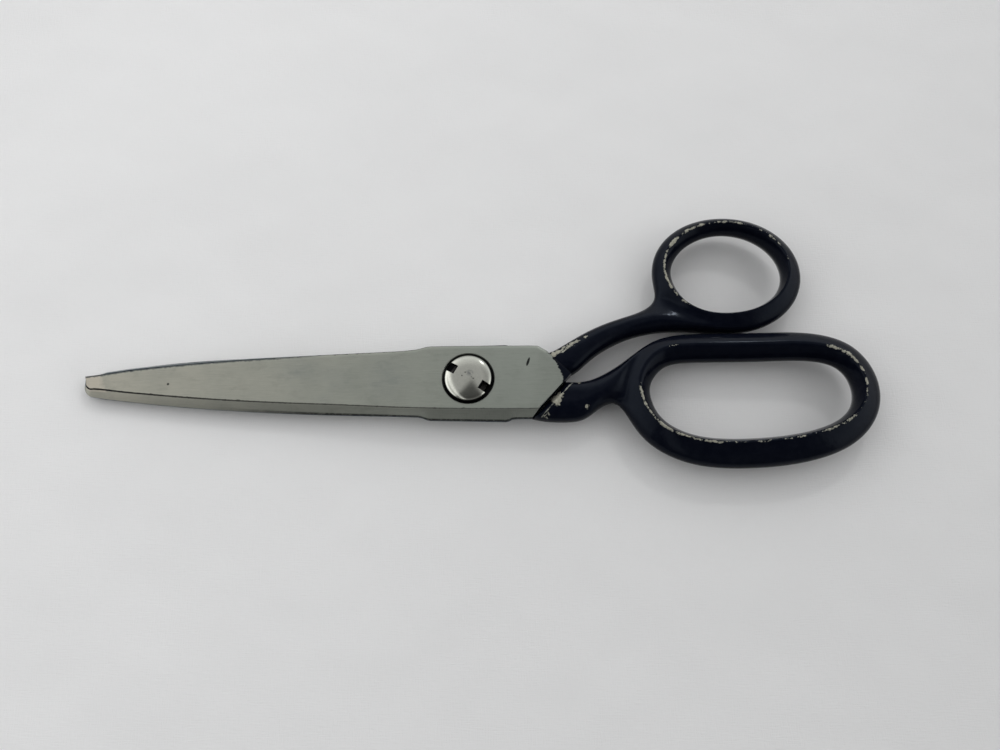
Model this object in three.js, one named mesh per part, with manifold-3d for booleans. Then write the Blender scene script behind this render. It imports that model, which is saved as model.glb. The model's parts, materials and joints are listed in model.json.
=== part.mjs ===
// Eight inch fabric shears. Millimetres. +X runs from the pivot to the handles, +Y to the thumb side, +Z up.
// The origin is on the pivot axis, at the flat back of the pivot bolt's head.
// Each half is one forging: blade, pivot plate, shank and bow in one piece. The two halves turn on the bolt.

import * as THREE from 'three';
import { mergeVertices } from 'three/addons/utils/BufferGeometryUtils.js';
import Module from 'manifold-3d';

// Blade and pivot plate. The cutting edge is on +Y and the spine on -Y, and the parting plane is z = 0.
const BLADE_LENGTH = 99.6;
const PLATE_THICKNESS = 3.4;
const TIP_THICKNESS = 1.5;
const HEEL_X = -10.5;
const HEEL_STEP = 0.9;
const PLATE_CUT_SIDE = 8.8;
const PLATE_SPINE_SIDE = 10.8;
const PLATE_REACH = 25.3;
const PLATE_CORNER_X = 15.8;
const SPINE_STEP_X = 10.5;
const SPINE_STEP = 0.75;
const SPINE_LAND = 0.7;
const EDGE_BEVEL = 1.0;
const PLATE_BEVEL = 0.5;
const HALF_GAP = 0.15;

// Pivot.
const BOLT_RADIUS = 2.6;
const NECK_MARGIN = 0.4;
const NECK_SIZE = 2 * BOLT_RADIUS + NECK_MARGIN;
const HEAD_RADIUS = 5.2;
const HEAD_THICKNESS = 1.5;
const NUT_RADIUS = 5.8;
const NUT_RIM = 1.1;
const NUT_DOME = 1.15;
const NUT_ROOF = 0.9;
const NOTCH_WIDTH = 2.3;
const NOTCH_DEPTH = 2.1;
const NOTCH_ANGLE = THREE.MathUtils.degToRad(-31);
const COUNTERBORE_CLEARANCE = 0.9;
const COUNTERBORE_RADIUS = NUT_RADIUS + COUNTERBORE_CLEARANCE;
const COUNTERBORE_DEPTH = 1.7;
const WASHER_SETBACK = 0.8;
const WASHER_RADIUS = NUT_RADIUS - WASHER_SETBACK;
const WASHER_THICKNESS = 0.45;
const WASHER_RISE = 0.25;
const RUNNING_CLEARANCE = 0.15;
const SEAT_CLEARANCE = 0.2;
const ROUND_SIDES = 40;

// Bows. Lengths and widths are outside sizes, and a band is the width of the metal round a hole.
const THUMB_RING_LENGTH = 40.2;
const THUMB_RING_WIDTH = 33.8;
const THUMB_BAND = 5.3;
const THUMB_HEIGHT = 8.6;
const THUMB_SHANK = 23.8;
const THUMB_JUNCTION_ANGLE = THREE.MathUtils.degToRad(202.5);
const FINGER_BOW_LENGTH = 65.3;
const FINGER_BOW_WIDTH = 35.2;
const FINGER_BAND = 7.1;
const FINGER_HEIGHT = 9.4;
const FINGER_SHANK = 15.2;
const BOW_TOP = 12.9;
const BOW_GAP = 0.35;
const SHANK_GAP = 0.3;

const RING_STEPS = 16;
const JUNCTION_SEGMENTS = 3;
const SMOOTHING_ROUNDS = 1;

const wasm = await Module();
wasm.setup();

// A shape made of flat facets: points, and faces of three or four point numbers each.
function facetedGeometry(points, faces) {
  const index = [];
  for (const face of faces) {
    index.push(face[0], face[1], face[2]);
    if (face.length === 4) {
      index.push(face[0], face[2], face[3]);
    }
  }
  const geometry = new THREE.BufferGeometry();
  const values = points.flatMap((point) => [point.x, point.y, point.z]);
  geometry.setAttribute('position', new THREE.Float32BufferAttribute(values, 3));
  geometry.setIndex(index);
  return geometry;
}

function solid(geometry, matrix = new THREE.Matrix4()) {
  const bare = geometry.clone().applyMatrix4(matrix);
  bare.deleteAttribute('normal');
  bare.deleteAttribute('uv');
  const merged = mergeVertices(bare, 1e-4);
  const vertProperties = Float32Array.from(merged.attributes.position.array);
  const triVerts = Uint32Array.from(merged.index.array);
  return new wasm.Manifold(new wasm.Mesh({ numProp: 3, vertProperties, triVerts }));
}

function geometryOf(body) {
  const mesh = body.getMesh();
  const geometry = new THREE.BufferGeometry();
  const values = new Float32Array(mesh.numVert * 3);
  for (let vertex = 0; vertex < mesh.numVert; vertex += 1) {
    for (let axis = 0; axis < 3; axis += 1) {
      values[vertex * 3 + axis] = mesh.vertProperties[vertex * mesh.numProp + axis];
    }
  }
  geometry.setAttribute('position', new THREE.BufferAttribute(values, 3));
  geometry.setIndex(new THREE.BufferAttribute(Uint32Array.from(mesh.triVerts), 1));
  geometry.computeVertexNormals();
  return geometry;
}

function at(x, y, z) {
  return new THREE.Matrix4().makeTranslation(x, y, z);
}

// A half turn about X: what lays one half face to face with the other.
const TURNED_OVER = new THREE.Matrix4().makeRotationX(Math.PI).toArray();

// A round body about Z, from a profile of radius and height pairs that starts and ends on the axis.
function roundBody(profile, sides = ROUND_SIDES) {
  const points = profile.map(([radius, height]) => new THREE.Vector2(radius, height));
  const lathe = new THREE.LatheGeometry(points, sides);
  return solid(lathe, new THREE.Matrix4().makeRotationX(Math.PI / 2));
}

function disc(radius, bottom, top, sides = ROUND_SIDES) {
  return roundBody([[0, bottom], [radius, bottom], [radius, top], [0, top]], sides);
}

function block(width, depth, height, matrix) {
  return solid(new THREE.BoxGeometry(width, depth, height), matrix);
}

function edgeKey(first, second) {
  return Math.min(first, second) + '-' + Math.max(first, second);
}

// Catmull-Clark smoothing of a closed cage of four-sided faces.
function smoothed(points, faces) {
  const facePoints = faces.map((face) => {
    const centre = new THREE.Vector3();
    face.forEach((corner) => centre.addScaledVector(points[corner], 1 / face.length));
    return centre;
  });
  const edges = new Map();
  const facesAt = points.map(() => []);
  const edgesAt = points.map(() => []);
  faces.forEach((face, number) => {
    face.forEach((corner, place) => {
      const next = face[(place + 1) % face.length];
      const key = edgeKey(corner, next);
      if (!edges.has(key)) {
        edges.set(key, { ends: [corner, next], faces: [] });
        edgesAt[corner].push(key);
        edgesAt[next].push(key);
      }
      edges.get(key).faces.push(number);
      facesAt[corner].push(number);
    });
  });
  const newPoints = [];
  points.forEach((point, corner) => {
    const count = facesAt[corner].length;
    const moved = point.clone().multiplyScalar((count - 3) / count);
    facesAt[corner].forEach((number) => moved.addScaledVector(facePoints[number], 1 / count / count));
    edgesAt[corner].forEach((key) => {
      const [first, second] = edges.get(key).ends;
      moved.addScaledVector(points[first], 1 / count / count);
      moved.addScaledVector(points[second], 1 / count / count);
    });
    newPoints.push(moved);
  });
  const faceStart = newPoints.length;
  newPoints.push(...facePoints);
  edges.forEach((edge) => {
    const middle = new THREE.Vector3();
    edge.ends.forEach((corner) => middle.addScaledVector(points[corner], 1 / 4));
    edge.faces.forEach((number) => middle.addScaledVector(facePoints[number], 1 / 4));
    edge.point = newPoints.length;
    newPoints.push(middle);
  });
  const edgePoint = (first, second) => edges.get(edgeKey(first, second)).point;
  const newFaces = [];
  faces.forEach((face, number) => {
    face.forEach((corner, place) => {
      const next = face[(place + 1) % face.length];
      const before = face[(place + face.length - 1) % face.length];
      newFaces.push([corner, edgePoint(corner, next), faceStart + number, edgePoint(before, corner)]);
    });
  });
  return [newPoints, newFaces];
}

// Faces between rows of eight points: four across the top, then four back across the bottom.
const ROW = 8;
function rowNumbers(rows, start) {
  return rows.map((_, row) => Array.from({ length: ROW }, (_, place) => start + row * ROW + place));
}

function bandFaces(from, to) {
  return Array.from({ length: ROW }, (_, place) => {
    const next = (place + 1) % ROW;
    return [from[place], to[place], to[next], from[next]];
  });
}

function capFaces(row) {
  return [0, 1, 2].map((place) => [row[place], row[place + 1], row[6 - place], row[7 - place]]);
}

// The outer face falls evenly from the heel to the tip.
function plateTop(x) {
  const share = THREE.MathUtils.clamp((HEEL_X - x) / (BLADE_LENGTH + HEEL_X), 0, 1);
  return THREE.MathUtils.lerp(PLATE_THICKNESS, TIP_THICKNESS, share);
}

// One row across the plate: cutting side, middle and ridge on the outer face, then the low spine edge.
function plateRow(cut, ridge, spine, bevel, middle = null) {
  const centre = middle ?? [(cut[0] + ridge[0]) / 2, (cut[1] + ridge[1]) / 2];
  const low = HALF_GAP;
  return [
    new THREE.Vector3(cut[0], cut[1], plateTop(cut[0])),
    new THREE.Vector3(centre[0], centre[1], plateTop(centre[0])),
    new THREE.Vector3(ridge[0], ridge[1], plateTop(ridge[0])),
    new THREE.Vector3(spine[0], spine[1], low + SPINE_LAND),
    new THREE.Vector3(spine[0], spine[1], low),
    new THREE.Vector3(ridge[0], ridge[1], low),
    new THREE.Vector3(centre[0], centre[1], low),
    new THREE.Vector3(cut[0], cut[1] + bevel, low),
  ];
}

// Blade and pivot plate of either half. Places along the blade are shares of its length from the pivot.
function platePoints() {
  const rows = [];
  const tip = -BLADE_LENGTH;
  rows.push(plateRow([tip + 0.5, 1.5], [tip + 0.4, 0.9], [tip, 0.4], 0.1));
  rows.push(plateRow([tip + 2.4, 1.8], [tip + 1.5, -1.2], [tip + 0.5, -2.1], 0.2));
  rows.push(plateRow([tip + 5.2, 2.3], [tip + 3.6, -2.0], [tip + 2.3, -3.8], 0.5));
  const along = [
    [0.88, 3.2, -2.8, -5.0],
    [0.74, 4.6, -4.2, -6.5],
    [0.60, 5.6, -5.3, -7.6],
    [0.46, 6.3, -6.1, -8.4],
    [0.33, 6.9, -6.7, -8.9],
    [0.18, 7.5, -7.5, -9.3],
  ];
  for (const [share, cut, ridge, spine] of along) {
    const x = -share * BLADE_LENGTH;
    rows.push(plateRow([x, cut], [x, ridge], [x, spine], EDGE_BEVEL));
  }
  const cut = PLATE_CUT_SIDE;
  const back = -PLATE_SPINE_SIDE;
  const heelFoot = HEEL_X - 2.5;
  const heelBack = back + 0.4;
  const footBack = heelBack + HEEL_STEP;
  rows.push(plateRow([heelFoot, cut - HEEL_STEP], [heelFoot, -7.7], [heelFoot, footBack], EDGE_BEVEL));
  rows.push(plateRow([HEEL_X, cut], [HEEL_X, -7.8], [HEEL_X, heelBack], PLATE_BEVEL));
  rows.push(plateRow([0, cut], [0, -8.0], [0, back + 0.2], PLATE_BEVEL));
  rows.push(plateRow([SPINE_STEP_X, cut], [SPINE_STEP_X, -8.1], [SPINE_STEP_X, back], PLATE_BEVEL));
  const stepEnd = SPINE_STEP_X + 0.8;
  rows.push(plateRow([stepEnd, cut], [stepEnd, -8.15], [stepEnd, CORNER.y], PLATE_BEVEL));
  const insideShank = diagonalPoint(DIAGONAL_LENGTH + 1.7);
  rows.push(plateRow([19.0, 7.6], diagonalPoint(2.9), [CORNER.x, CORNER.y], 0.1, insideShank));
  return rows;
}

// The plate ends at a diagonal that runs from its spine corner up to the middle of the shank.
const CORNER = new THREE.Vector2(PLATE_CORNER_X, SPINE_STEP - PLATE_SPINE_SIDE);
const DIAGONAL = new THREE.Vector2(PLATE_REACH, 0).sub(CORNER).normalize();
const DIAGONAL_LENGTH = new THREE.Vector2(PLATE_REACH, 0).distanceTo(CORNER);
function diagonalPoint(distance) {
  return [CORNER.x + DIAGONAL.x * distance, CORNER.y + DIAGONAL.y * distance];
}

function plateSolid() {
  const rows = platePoints();
  const numbers = rowNumbers(rows, 0);
  const faces = [];
  for (let row = 0; row + 1 < rows.length; row += 1) {
    faces.push(...bandFaces(numbers[row], numbers[row + 1]));
  }
  faces.push(...capFaces(numbers[0]));
  faces.push(...capFaces(numbers.at(-1)).map((face) => face.reverse()));
  return solid(facetedGeometry(rows.flat(), faces.map((face) => face.reverse())));
}

// The space that the other half's plate turns in: everything on the pivot's side of its diagonal.
function plateClearance(height) {
  const normal = new THREE.Vector2(DIAGONAL.y, -DIAGONAL.x);
  const reach = CORNER.dot(normal) + SHANK_GAP;
  const size = 80;
  const matrix = new THREE.Matrix4().makeRotationZ(Math.atan2(normal.y, normal.x));
  matrix.multiply(at(reach - size / 2, 0, height / 2 - HALF_GAP));
  return block(size, size, height, matrix);
}

// One shank row: a point on each side, and the half height of the metal there.
function shankRow(upper, lower, half, edge) {
  const across = [0, 0.3, 0.7, 1];
  const height = [edge, 1, 1, edge];
  const top = across.map((share, place) => new THREE.Vector3(
    THREE.MathUtils.lerp(upper[0], lower[0], share),
    THREE.MathUtils.lerp(upper[1], lower[1], share),
    half * height[place],
  ));
  const bottom = top.map((point) => new THREE.Vector3(point.x, point.y, -point.z)).reverse();
  return [...top, ...bottom];
}

// One row across a bow's band, outside edge first, with its crest nearer to the hole.
function bowRow(centre, outward, band, half) {
  const offset = [0.5, 0.2, -0.22, -0.5];
  const height = [0.45, 0.92, 1, 0.5];
  const top = offset.map((share, place) => new THREE.Vector3(
    centre.x + outward.x * share * band,
    centre.y + outward.y * share * band,
    half * height[place],
  ));
  const bottom = top.map((point) => new THREE.Vector3(point.x, point.y, -point.z)).reverse();
  return [...top, ...bottom];
}

// A closed bow with a shank on it. The bow's rows run anticlockwise, and the shank's last row is
// the outside edge of the bow's first rows.
function handleSolid(shank, bow) {
  const points = [...shank.flat(), ...bow.flat()];
  const shankNumbers = rowNumbers(shank, 0);
  const start = shank.length * ROW;
  const bowNumbers = rowNumbers(bow, start);
  const faces = [];
  for (let row = 0; row + 1 < shank.length; row += 1) {
    faces.push(...bandFaces(shankNumbers[row], shankNumbers[row + 1]));
  }
  faces.push(...capFaces(shankNumbers[0]));
  const outerTop = 0;
  const outerBottom = ROW - 1;
  const joined = Array.from({ length: JUNCTION_SEGMENTS + 1 }, (_, row) => row);
  const lastTop = joined.map((row) => bowNumbers[row][outerTop]);
  const lastBottom = joined.map((row) => bowNumbers[row][outerBottom]).reverse();
  faces.push(...bandFaces(shankNumbers.at(-1), [...lastTop, ...lastBottom]));
  for (let row = 0; row < bow.length; row += 1) {
    const next = bowNumbers[(row + 1) % bow.length];
    const quads = bandFaces(next, bowNumbers[row]);
    if (row < JUNCTION_SEGMENTS) {
      quads.pop();
    }
    faces.push(...quads);
  }
  let cage = [points, faces.map((face) => face.reverse())];
  for (let round = 0; round < SMOOTHING_ROUNDS; round += 1) {
    cage = smoothed(...cage);
  }
  return solid(facetedGeometry(...cage));
}

function thumbHandle() {
  const half = THUMB_HEIGHT / 2;
  const centre = new THREE.Vector2(
    PLATE_REACH + THUMB_SHANK + THUMB_RING_LENGTH / 2,
    BOW_TOP + BOW_GAP + THUMB_RING_WIDTH / 2,
  );
  const spread = 1.02;
  const halfLength = (THUMB_RING_LENGTH - THUMB_BAND) / 2 * spread;
  const halfWidth = (THUMB_RING_WIDTH - THUMB_BAND) / 2 * spread;
  const bow = Array.from({ length: RING_STEPS }, (_, step) => {
    const angle = THUMB_JUNCTION_ANGLE + step * 2 * Math.PI / RING_STEPS;
    const place = new THREE.Vector2(halfLength * Math.cos(angle), halfWidth * Math.sin(angle));
    const outward = new THREE.Vector2(Math.cos(angle) / halfLength, Math.sin(angle) / halfWidth).normalize();
    return bowRow(place.add(centre), outward, THUMB_BAND, half);
  });
  const along = (share) => PLATE_REACH + share * THUMB_SHANK;
  const root = PLATE_THICKNESS - 0.15;
  const shank = [
    shankRow([along(-0.32), 7.0], [along(-0.28), 0.5], root - 0.25, 0.9),
    shankRow([along(-0.17), 7.6], [along(-0.02), 0.6], root - 0.1, 0.8),
    shankRow([along(-0.01), 10.1], [along(0.14), 2.5], root + 0.2, 0.65),
    shankRow([along(0.20), 13.2], [along(0.29), 6.4], root + 0.5, 0.5),
    shankRow([along(0.44), 15.9], [along(0.54), 10.2], root + 0.6, 0.5),
    shankRow([along(0.70), 17.9], [along(0.82), 12.8], half - 0.4, 0.45),
    shankRow([along(0.90), 19.7], [along(1.25), 14.2], half - 0.2, 0.45),
  ];
  return handleSolid(shank, bow);
}

function fingerHandle() {
  const half = FINGER_HEIGHT / 2;
  const halfLength = (FINGER_BOW_LENGTH - FINGER_BAND) / 2;
  const halfWidth = (FINGER_BOW_WIDTH - FINGER_BAND) / 2;
  const centre = new THREE.Vector2(
    PLATE_REACH + FINGER_SHANK + FINGER_BOW_LENGTH / 2,
    BOW_TOP - FINGER_BOW_WIDTH / 2,
  );
  // Round the bow anticlockwise from the top of the junction, in shares of its half length and half width.
  const outline = [
    [-0.80, 0.92], [-0.955, 0.62], [-1.03, 0.27], [-1.00, -0.13],
    [-0.84, -0.58], [-0.49, -0.95], [-0.05, -1.04], [0.39, -0.96],
    [0.79, -0.70], [1.02, -0.20], [1.03, 0.37], [0.84, 0.86],
    [0.51, 1.02], [0.14, 1.0], [-0.24, 1.0], [-0.57, 0.99],
  ];
  const halfSize = new THREE.Vector2(halfLength, halfWidth);
  const places = outline.map(([u, v]) => new THREE.Vector2(u, v).multiply(halfSize).add(centre));
  const bow = places.map((place, step) => {
    const before = places[(step + places.length - 1) % places.length];
    const after = places[(step + 1) % places.length];
    const run = after.clone().sub(before).normalize();
    return bowRow(place, new THREE.Vector2(run.y, -run.x), FINGER_BAND, half);
  });
  const along = (share) => PLATE_REACH + share * FINGER_SHANK;
  const root = PLATE_THICKNESS - 0.15;
  const shank = [
    shankRow([along(-0.50), 0.4], [along(-0.85), -8.6], root - 0.25, 0.9),
    shankRow([along(-0.20), 0.0], [along(-0.45), -10.5], root - 0.1, 0.8),
    shankRow([along(0.10), -0.3], [along(-0.05), -10.7], root, 0.7),
    shankRow([along(0.38), 0.0], [along(0.28), -10.2], root + 0.2, 0.6),
    shankRow([along(0.66), 1.9], [along(0.50), -6.6], root + 0.5, 0.5),
    shankRow([along(0.98), 5.0], [along(0.78), -4.3], half - 0.5, 0.45),
  ];
  return handleSolid(shank, bow);
}

const COUNTERBORE_FLOOR = PLATE_THICKNESS - COUNTERBORE_DEPTH;

// The nut half carries the counterbore and a round running bore.
function thumbHalf() {
  const handle = thumbHandle().subtract(plateClearance(4 * PLATE_THICKNESS).transform(TURNED_OVER));
  const bore = disc(BOLT_RADIUS + RUNNING_CLEARANCE, -1, PLATE_THICKNESS + 1);
  const counterbore = disc(COUNTERBORE_RADIUS, COUNTERBORE_FLOOR, PLATE_THICKNESS + 1);
  return plateSolid().add(handle).subtract(bore).subtract(counterbore);
}

// The bolt half is the same blade turned over, with a square hole for the bolt's neck
// and a recess for its head.
function fingerHalf() {
  const handle = fingerHandle().subtract(plateClearance(4 * PLATE_THICKNESS));
  const hole = NECK_SIZE + 2 * SEAT_CLEARANCE;
  const square = block(hole, hole, 4 * PLATE_THICKNESS, at(0, 0, 0));
  const recessFloor = PLATE_THICKNESS - HEAD_THICKNESS - SEAT_CLEARANCE;
  const recess = disc(HEAD_RADIUS + SEAT_CLEARANCE, recessFloor, PLATE_THICKNESS + 1);
  return plateSolid().subtract(square).subtract(recess).transform(TURNED_OVER).add(handle);
}

const NECK_TOP = -HALF_GAP;
const WASHER_BOTTOM = COUNTERBORE_FLOOR + SEAT_CLEARANCE;
const NUT_BOTTOM = WASHER_BOTTOM + WASHER_THICKNESS + WASHER_RISE + SEAT_CLEARANCE;
const NUT_TOP = NUT_BOTTOM + NUT_RIM + NUT_DOME;

function pivotBolt() {
  const headTop = HEAD_THICKNESS - PLATE_THICKNESS;
  const end = NUT_TOP - NUT_ROOF - SEAT_CLEARANCE;
  const head = disc(HEAD_RADIUS, -PLATE_THICKNESS, headTop);
  const neckHeight = NECK_TOP - headTop;
  const neck = block(NECK_SIZE, NECK_SIZE, neckHeight, at(0, 0, headTop + neckHeight / 2));
  const chamfer = 0.4;
  const shank = roundBody([
    [0, headTop],
    [BOLT_RADIUS, headTop],
    [BOLT_RADIUS, end - chamfer],
    [BOLT_RADIUS - chamfer, end],
    [0, end],
  ]);
  return head.add(neck).add(shank);
}

// A low domed nut, hollow below for the bolt, with two notches in its rim for a spanner.
function pivotNut() {
  const steps = 8;
  const profile = [[0, NUT_BOTTOM], [NUT_RADIUS - 0.2, NUT_BOTTOM], [NUT_RADIUS, NUT_BOTTOM + 0.2]];
  const rimTop = NUT_BOTTOM + NUT_RIM;
  for (let step = 0; step <= steps; step += 1) {
    const angle = step / steps * Math.PI / 2;
    profile.push([NUT_RADIUS * Math.cos(angle), rimTop + NUT_DOME * Math.sin(angle)]);
  }
  profile.at(-1)[0] = 0;
  const bore = disc(BOLT_RADIUS + RUNNING_CLEARANCE, NUT_BOTTOM - 1, NUT_TOP - NUT_ROOF);
  let nut = roundBody(profile).subtract(bore);
  for (const side of [0, Math.PI]) {
    const matrix = new THREE.Matrix4().makeRotationZ(NOTCH_ANGLE + side);
    const reach = 2 * NOTCH_DEPTH;
    matrix.multiply(at(NUT_RADIUS - NOTCH_DEPTH + reach / 2, 0, NUT_BOTTOM + 2));
    nut = nut.subtract(block(reach, NOTCH_WIDTH, 6, matrix));
  }
  return nut;
}

// A thin bowed washer, higher at its bore than at its rim.
function tensionWasher() {
  const inner = BOLT_RADIUS + RUNNING_CLEARANCE;
  const points = [
    [inner, WASHER_BOTTOM + WASHER_RISE],
    [WASHER_RADIUS, WASHER_BOTTOM],
    [WASHER_RADIUS, WASHER_BOTTOM + WASHER_THICKNESS],
    [inner, WASHER_BOTTOM + WASHER_RISE + WASHER_THICKNESS],
    [inner, WASHER_BOTTOM + WASHER_RISE],
  ].map(([radius, height]) => new THREE.Vector2(radius, height));
  return solid(new THREE.LatheGeometry(points, ROUND_SIDES), new THREE.Matrix4().makeRotationX(Math.PI / 2));
}

function piece(name, body, color, roughness, metalness) {
  const material = new THREE.MeshStandardMaterial({ color, roughness, metalness });
  const mesh = new THREE.Mesh(geometryOf(body), material);
  mesh.name = name;
  return mesh;
}

const shears = new THREE.Group();
const closed = new THREE.Group();
closed.position.z = PLATE_THICKNESS;
shears.add(closed);
closed.add(piece('finger_half', fingerHalf(), 0x6f6f66, 0.42, 0.8));
closed.add(piece('thumb_half', thumbHalf(), 0x97998c, 0.4, 0.85));
closed.add(piece('pivot_bolt', pivotBolt(), 0x8a8b84, 0.4, 0.9));
closed.add(piece('tension_washer', tensionWasher(), 0x77756d, 0.5, 0.85));
closed.add(piece('pivot_nut', pivotNut(), 0xb4b4aa, 0.25, 0.95));

export default shears;
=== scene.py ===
"""Fabric shears with nickelled blades and chipped black enamel handles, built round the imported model."""

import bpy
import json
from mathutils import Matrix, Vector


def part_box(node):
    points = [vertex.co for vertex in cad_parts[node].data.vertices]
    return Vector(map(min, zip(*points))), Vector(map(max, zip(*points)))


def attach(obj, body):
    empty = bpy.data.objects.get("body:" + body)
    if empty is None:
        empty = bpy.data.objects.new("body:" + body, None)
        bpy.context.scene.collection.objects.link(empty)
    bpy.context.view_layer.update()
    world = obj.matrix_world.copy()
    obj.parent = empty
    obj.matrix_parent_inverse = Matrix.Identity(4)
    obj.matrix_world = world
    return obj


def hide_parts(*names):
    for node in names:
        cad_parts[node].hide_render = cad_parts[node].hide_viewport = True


bl_info = {
    "name": "Fabric Shears",
    "version": (1, 0, 0),
    "blender": (4, 5, 0),
    "location": "View3D > Sidebar > Shears",
    "description": "Builds a pair of enamelled fabric shears and a plain studio for them",
    "category": "Add Mesh",
}

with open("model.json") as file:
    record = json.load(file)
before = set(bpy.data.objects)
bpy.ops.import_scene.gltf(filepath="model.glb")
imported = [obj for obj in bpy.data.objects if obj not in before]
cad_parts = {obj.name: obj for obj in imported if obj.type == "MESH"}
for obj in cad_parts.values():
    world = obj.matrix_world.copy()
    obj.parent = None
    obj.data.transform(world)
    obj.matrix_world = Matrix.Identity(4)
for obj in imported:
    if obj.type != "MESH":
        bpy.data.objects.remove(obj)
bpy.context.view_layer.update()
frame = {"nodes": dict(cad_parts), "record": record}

import json
import math

import bmesh
import bpy
from bpy.props import FloatProperty, FloatVectorProperty, PointerProperty
from mathutils import Matrix, Vector

MM = 0.001

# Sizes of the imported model. The pivot plates' outer faces stand one thickness off the parting plane.
FRONT_FACE = next(m["pos_m"][2] for m in frame["record"]["mounts"] if m["name"] == "plate_front")
PARTING = FRONT_FACE / 2
PLATE_THICKNESS = PARTING / MM
BLADE_LENGTH = -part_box("thumb_half")[0].x / MM
NUT_LOW, NUT_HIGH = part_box("pivot_nut")
NUT_RADIUS = (NUT_HIGH.x - NUT_LOW.x) / 2 / MM

# Sizes in millimetres, and the turn of the nut's notches, that more than one part uses.
HALF_GAP = 0.15
SHANK_GAP = 0.3
BORE_RADIUS = 2.75
RECESS_DEPTH = 1.7
NOTCH_TURN = math.radians(-31)

# Heights that a cutter of the halves starts and stops at to pass right through, and a long way off.
UNDER = -1
OVER = 5
FAR = 90.0


# ---- Sizes and colours that a user would change ----

def length(name, description, millimetres):
    return FloatProperty(
        name=name,
        description=description,
        default=millimetres * MM,
        min=0.0,
        subtype="DISTANCE",
        unit="LENGTH",
        precision=5,
    )


def colour(name, description, value):
    return FloatVectorProperty(
        name=name, description=description, default=value, size=3, subtype="COLOR", min=0.0, max=1.0
    )


def factor(name, description, value, high=1.0):
    return FloatProperty(name=name, description=description, default=value, min=0.0, max=high)


def rotation(name, description, radians):
    return FloatProperty(
        name=name, description=description, default=radians, subtype="ANGLE", unit="ROTATION"
    )


class ShearsSizes(bpy.types.PropertyGroup):
    """Sizes of the forged halves and of the pivot."""

    blade_length: length("Blade length", "From the pivot to the tip", BLADE_LENGTH + 0.8)
    plate_thickness: length("Plate thickness", "Thickness of one half at the pivot", PLATE_THICKNESS)
    tip_thickness: length("Tip thickness", "Thickness of one half at the tip", 1.5)
    edge_round: length("Edge round", "Width of the worn round on the blade's edges", 0.16)
    enamel_round: length("Enamel round", "Grain that the enamelled handle is rounded to", 0.27)
    thumb_height: length("Thumb ring height", "Height of the thumb ring's section", 7.8)
    finger_height: length("Finger bow height", "Height of the finger bow's section", 9.4)
    nut_radius: length("Nut radius", "Outer radius of the domed nut", NUT_RADIUS + 0.2)
    counterbore_radius: length("Counterbore radius", "Radius of the recess round the nut", 6.65)


class ShearsFinish(bpy.types.PropertyGroup):
    """Colours and wear of the nickel and the enamel."""

    nickel: colour("Nickel", "Old nickel plate", (0.36, 0.345, 0.29))
    # The plate fades to this towards the pivot: a greenish tarnish, and a painted darker reflection there.
    tarnish_and_shade: colour("Tarnish", "Greenish tarnish near the pivot", (0.285, 0.305, 0.27))
    bright: colour("Bright edge", "Metal worn bright along the edges", (0.62, 0.60, 0.52))
    # This colour is also the painted shade in gaps and recesses, along the spine's foot and round the nut
    # and bolt.
    grime_and_shade: colour("Grime", "Dark dirt in gaps and along worn lines", (0.010, 0.010, 0.011))
    enamel: colour("Enamel", "Black enamel with a blue cast", (0.0022, 0.0030, 0.0066))
    primer: colour("Chipped metal", "Dull metal where the enamel has chipped", (0.36, 0.35, 0.29))
    chipping: factor("Chipping", "How much enamel has chipped from the crests", 0.5)
    scratching: factor("Scratching", "Depth of the brushed scratches", 0.5)


class ShearsStudio(bpy.types.PropertyGroup):
    """The floor, the light and the camera."""

    floor: colour("Floor", "Pale floor", (0.86, 0.855, 0.85))
    camera_height: length("Camera height", "Camera above the parting plane", 199.1)
    camera_back: length("Camera back", "Camera behind the pivot", 61.2)
    camera_side: length("Camera side", "Camera towards the handles", 8.1)
    camera_lean: rotation("Camera lean", "Lean of the camera along the blades", 0.01776)
    camera_tilt: rotation("Camera tilt", "Tilt of the camera off straight down", math.radians(17.6))
    lens: FloatProperty(name="Lens", description="Focal length", default=28.8, min=1.0, unit="CAMERA")
    sky: factor("Sky", "Strength of the soft light from all round", 1.0, high=10.0)
    window: factor("Window", "Strength of the small window that glints in the enamel", 1.0, high=10.0)


# ---- Mesh tools ----

def smooth_line(points):
    """A smooth curve through given (x, y) points, as a function of x."""
    xs, ys = zip(*points)
    last = len(points) - 1

    def slope(i):
        low = max(i - 1, 0)
        high = min(i + 1, last)
        return (ys[high] - ys[low]) / (xs[high] - xs[low])

    def value(x):
        i = 0
        while i < last - 1 and x > xs[i + 1]:
            i += 1
        run = xs[i + 1] - xs[i]
        t = min(max((x - xs[i]) / run, 0.0), 1.0)
        start, end = slope(i) * run, slope(i + 1) * run
        return (
            (2 * t**3 - 3 * t**2 + 1) * ys[i]
            + (t**3 - 2 * t**2 + t) * start
            + (-2 * t**3 + 3 * t**2) * ys[i + 1]
            + (t**3 - t**2) * end
        )

    return value


def mesh_object(name, points, faces):
    """An object from points in millimetres above the parting plane."""
    mesh = bpy.data.meshes.new(name)
    lift = Vector((0, 0, PARTING))
    mesh.from_pydata([Vector(p) * MM + lift for p in points], [], faces)
    mesh.validate()
    obj = bpy.data.objects.new(name, mesh)
    bpy.context.scene.collection.objects.link(obj)
    return obj


def settle(obj):
    """Makes an object's modifiers part of its mesh."""
    bpy.context.view_layer.update()
    graph = bpy.context.evaluated_depsgraph_get()
    mesh = bpy.data.meshes.new_from_object(obj.evaluated_get(graph), depsgraph=graph)
    obj.modifiers.clear()
    obj.data = mesh
    return obj


def modify(obj, kind, **settings):
    """Applies one modifier to an object."""
    modifier = obj.modifiers.new(kind.title(), kind)
    for key, value in settings.items():
        setattr(modifier, key, value)
    return settle(obj)


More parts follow.
